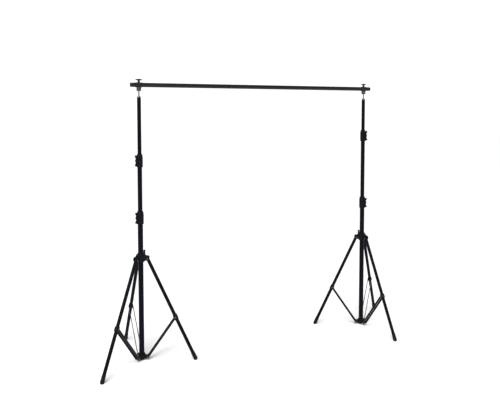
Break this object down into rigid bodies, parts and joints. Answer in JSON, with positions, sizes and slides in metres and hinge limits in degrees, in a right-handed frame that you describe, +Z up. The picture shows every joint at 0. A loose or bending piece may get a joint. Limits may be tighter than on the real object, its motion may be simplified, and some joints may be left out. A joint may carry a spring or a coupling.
{
  "type": "background support system",
  "caption": "Backdrop stand: telescopic tripod light stands with clamp collars carry a swivelling crossbar on threaded studs under wing nuts; the legs fold along the mast.",
  "frame": {"origin": "on the floor, midway between the two masts and centred under the whole object", "axes": "+X along the crossbar from the left stand to the right one, +Y across the object, away from the viewer, +Z up"},
  "size_m": [1.9878, 0.641, 1.6348],
  "materials": {
    "mast_tube": "satin black powder coat over aluminium",
    "leg_tube": "satin black powder coat over aluminium",
    "bar_tube": "satin black powder coat over aluminium",
    "brace_paint": "black paint on steel strip",
    "black_casting": "semi-matt black paint on a casting",
    "socket_paint": "dark warm grey paint",
    "knob_plastic": "moulded dark warm grey plastic",
    "bracket_plastic": "moulded black plastic",
    "cap_plastic": "moulded black plastic",
    "bush_nylon": "moulded nylon",
    "rubber_foot": "matt black rubber",
    "bright_steel": "zinc-plated steel"
  },
  "bodies": {
    "left_base": {"left_lower_tube": "mast_tube", "left_spider": "black_casting", "left_spider_pins": "bright_steel", "left_lower_collar": "black_casting"},
    "left_lower_knob": {"left_lower_knob": "knob_plastic"},
    "left_crown": {"left_crown": "black_casting", "left_crown_pins": "bright_steel"},
    "left_crown_knob": {"left_crown_lock_knob": "knob_plastic"},
    "left_mid": {"left_mid_tube": "mast_tube", "left_mid_bush": "bush_nylon", "left_upper_collar": "black_casting"},
    "left_upper_knob": {"left_upper_knob": "knob_plastic"},
    "left_top": {"left_top_tube": "mast_tube", "left_top_bush": "bush_nylon", "left_spigot": "bright_steel"},
    "left_leg_1": {"left_leg_1": "leg_tube", "left_foot_1": "rubber_foot", "left_leg_bracket_1": "bracket_plastic"},
    "left_brace_1": {"left_brace_1": "brace_paint"},
    "left_leg_2": {"left_leg_2": "leg_tube", "left_foot_2": "rubber_foot", "left_leg_bracket_2": "bracket_plastic"},
    "left_brace_2": {"left_brace_2": "brace_paint"},
    "left_leg_3": {"left_leg_3": "leg_tube", "left_foot_3": "rubber_foot", "left_leg_bracket_3": "bracket_plastic"},
    "left_brace_3": {"left_brace_3": "brace_paint"},
    "crossbar": {"crossbar_left": "bar_tube", "crossbar_right": "bar_tube", "bar_sockets": "socket_paint", "bar_end_caps": "cap_plastic"},
    "wing_nut_left": {"wing_nut_left": "knob_plastic"},
    "wing_nut_right": {"wing_nut_right": "knob_plastic"},
    "right_base": {"right_lower_tube": "mast_tube", "right_spider": "black_casting", "right_spider_pins": "bright_steel", "right_lower_collar": "black_casting"},
    "right_lower_knob": {"right_lower_knob": "knob_plastic"},
    "right_crown": {"right_crown": "black_casting", "right_crown_pins": "bright_steel"},
    "right_crown_knob": {"right_crown_lock_knob": "knob_plastic"},
    "right_mid": {"right_mid_tube": "mast_tube", "right_mid_bush": "bush_nylon", "right_upper_collar": "black_casting"},
    "right_upper_knob": {"right_upper_knob": "knob_plastic"},
    "right_top": {"right_top_tube": "mast_tube", "right_top_bush": "bush_nylon", "right_spigot": "bright_steel"},
    "right_leg_1": {"right_leg_1": "leg_tube", "right_foot_1": "rubber_foot", "right_leg_bracket_1": "bracket_plastic"},
    "right_brace_1": {"right_brace_1": "brace_paint"},
    "right_leg_2": {"right_leg_2": "leg_tube", "right_foot_2": "rubber_foot", "right_leg_bracket_2": "bracket_plastic"},
    "right_brace_2": {"right_brace_2": "brace_paint"},
    "right_leg_3": {"right_leg_3": "leg_tube", "right_foot_3": "rubber_foot", "right_leg_bracket_3": "bracket_plastic"},
    "right_brace_3": {"right_brace_3": "brace_paint"}
  },
  "joints": [
    {"name": "left_lower_knob_turn", "type": "hinge", "parent": "left_base", "child": "left_lower_knob", "pos_m": [-0.742, 0, 0.839], "axis": [-0.8387, -0.5446, 0], "continuous": true},
    {"name": "left_upper_knob_turn", "type": "hinge", "parent": "left_mid", "child": "left_upper_knob", "pos_m": [-0.742, 0, 1.168], "axis": [-0.8387, -0.5446, 0], "continuous": true},
    {"name": "left_crown_slide", "type": "slide", "parent": "left_base", "child": "left_crown", "axis": [0, 0, 1], "range_m": [0, 0.0849]},
    {"name": "left_crown_knob_turn", "type": "hinge", "parent": "left_crown", "child": "left_crown_knob", "pos_m": [-0.742, 0, 0.62308], "axis": [0.766, 0.6428, 0], "continuous": true},
    {"name": "left_leg_1_fold", "type": "hinge", "parent": "left_crown", "child": "left_leg_1", "pos_m": [-0.77264, -0.02571, 0.59808], "axis": [0.6428, -0.766, 0], "range_deg": [0, 22.95]},
    {"name": "left_brace_1_fold", "type": "hinge", "parent": "left_base", "child": "left_brace_1", "pos_m": [-0.77034, -0.02378, 0.02], "axis": [-0.6428, 0.766, 0], "range_deg": [0, 31.38]},
    {"name": "left_leg_2_fold", "type": "hinge", "parent": "left_crown", "child": "left_leg_2", "pos_m": [-0.70441, -0.01368, 0.59808], "axis": [0.342, 0.9397, 0], "range_deg": [0, 22.95]},
    {"name": "left_brace_2_fold", "type": "hinge", "parent": "left_base", "child": "left_brace_2", "pos_m": [-0.70723, -0.01265, 0.02], "axis": [-0.342, -0.9397, 0], "range_deg": [0, 31.38]},
    {"name": "left_leg_3_fold", "type": "hinge", "parent": "left_crown", "child": "left_leg_3", "pos_m": [-0.74895, 0.03939, 0.59808], "axis": [-0.9848, -0.1736, 0], "range_deg": [0, 22.95]},
    {"name": "left_brace_3_fold", "type": "hinge", "parent": "left_base", "child": "left_brace_3", "pos_m": [-0.74843, 0.03644, 0.02], "axis": [0.9848, 0.1736, 0], "range_deg": [0, 31.38]},
    {"name": "left_mid_slide", "type": "slide", "parent": "left_base", "child": "left_mid", "axis": [0, 0, 1], "range_m": [-0.25, 0.245]},
    {"name": "left_top_slide", "type": "slide", "parent": "left_mid", "child": "left_top", "axis": [0, 0, 1], "range_m": [-0.198, 0.3]},
    {"name": "crossbar_swing", "type": "hinge", "parent": "left_top", "child": "crossbar", "pos_m": [-0.742, 0, 1.6], "axis": [0, 0, 1], "continuous": true},
    {"name": "wing_nut_left_turn", "type": "hinge", "parent": "left_top", "child": "wing_nut_left", "pos_m": [-0.742, 0, 1.6148], "axis": [0, 0, 1], "continuous": true},
    {"name": "right_lower_knob_turn", "type": "hinge", "parent": "right_base", "child": "right_lower_knob", "pos_m": [0.742, 0, 0.839], "axis": [0.342, -0.9397, 0], "continuous": true},
    {"name": "right_upper_knob_turn", "type": "hinge", "parent": "right_mid", "child": "right_upper_knob", "pos_m": [0.742, 0, 1.289], "axis": [0.342, -0.9397, 0], "continuous": true},
    {"name": "right_crown_slide", "type": "slide", "parent": "right_base", "child": "right_crown", "axis": [0, 0, 1], "range_m": [0, 0.0849]},
    {"name": "right_crown_knob_turn", "type": "hinge", "parent": "right_crown", "child": "right_crown_knob", "pos_m": [0.742, 0, 0.62308], "axis": [-0.1736, 0.9848, 0], "continuous": true},
    {"name": "right_leg_1_fold", "type": "hinge", "parent": "right_crown", "child": "right_leg_1", "pos_m": [0.77264, 0.02571, 0.59808], "axis": [-0.6428, 0.766, 0], "range_deg": [0, 22.95]},
    {"name": "right_brace_1_fold", "type": "hinge", "parent": "right_base", "child": "right_brace_1", "pos_m": [0.77034, 0.02378, 0.02], "axis": [0.6428, -0.766, 0], "range_deg": [0, 31.38]},
    {"name": "right_leg_2_fold", "type": "hinge", "parent": "right_crown", "child": "right_leg_2", "pos_m": [0.70441, 0.01368, 0.59808], "axis": [-0.342, -0.9397, 0], "range_deg": [0, 22.95]},
    {"name": "right_brace_2_fold", "type": "hinge", "parent": "right_base", "child": "right_brace_2", "pos_m": [0.70723, 0.01265, 0.02], "axis": [0.342, 0.9397, 0], "range_deg": [0, 31.38]},
    {"name": "right_leg_3_fold", "type": "hinge", "parent": "right_crown", "child": "right_leg_3", "pos_m": [0.74895, -0.03939, 0.59808], "axis": [0.9848, 0.1736, 0], "range_deg": [0, 22.95]},
    {"name": "right_brace_3_fold", "type": "hinge", "parent": "right_base", "child": "right_brace_3", "pos_m": [0.74843, -0.03644, 0.02], "axis": [-0.9848, -0.1736, 0], "range_deg": [0, 31.38]},
    {"name": "right_stand_swing", "type": "hinge", "parent": "crossbar", "child": "right_top", "pos_m": [0.742, 0, 1.6], "axis": [0, 0, 1], "continuous": true},
    {"name": "wing_nut_right_turn", "type": "hinge", "parent": "right_top", "child": "wing_nut_right", "pos_m": [0.742, 0, 1.6148], "axis": [0, 0, 1], "continuous": true},
    {"name": "right_top_slide", "type": "slide", "parent": "right_top", "child": "right_mid", "axis": [0, 0, -1], "range_m": [-0.198, 0.3]},
    {"name": "right_mid_slide", "type": "slide", "parent": "right_mid", "child": "right_base", "axis": [0, 0, -1], "range_m": [-0.25, 0.245]}
  ],
  "couplings": [
    {"joint": "left_leg_1_fold", "follows": "left_crown_slide", "rad_per_m": 4.7077},
    {"joint": "left_brace_1_fold", "follows": "left_crown_slide", "rad_per_m": 6.4411},
    {"joint": "left_leg_2_fold", "follows": "left_crown_slide", "rad_per_m": 4.7077},
    {"joint": "left_brace_2_fold", "follows": "left_crown_slide", "rad_per_m": 6.4411},
    {"joint": "left_leg_3_fold", "follows": "left_crown_slide", "rad_per_m": 4.7077},
    {"joint": "left_brace_3_fold", "follows": "left_crown_slide", "rad_per_m": 6.4411},
    {"joint": "right_leg_1_fold", "follows": "right_crown_slide", "rad_per_m": 4.7077},
    {"joint": "right_brace_1_fold", "follows": "right_crown_slide", "rad_per_m": 6.4411},
    {"joint": "right_leg_2_fold", "follows": "right_crown_slide", "rad_per_m": 4.7077},
    {"joint": "right_brace_2_fold", "follows": "right_crown_slide", "rad_per_m": 6.4411},
    {"joint": "right_leg_3_fold", "follows": "right_crown_slide", "rad_per_m": 4.7077},
    {"joint": "right_brace_3_fold", "follows": "right_crown_slide", "rad_per_m": 6.4411},
    {"joint": "right_top_slide", "follows": "left_top_slide", "ratio": 1},
    {"joint": "right_mid_slide", "follows": "left_mid_slide", "ratio": 1}
  ]
}
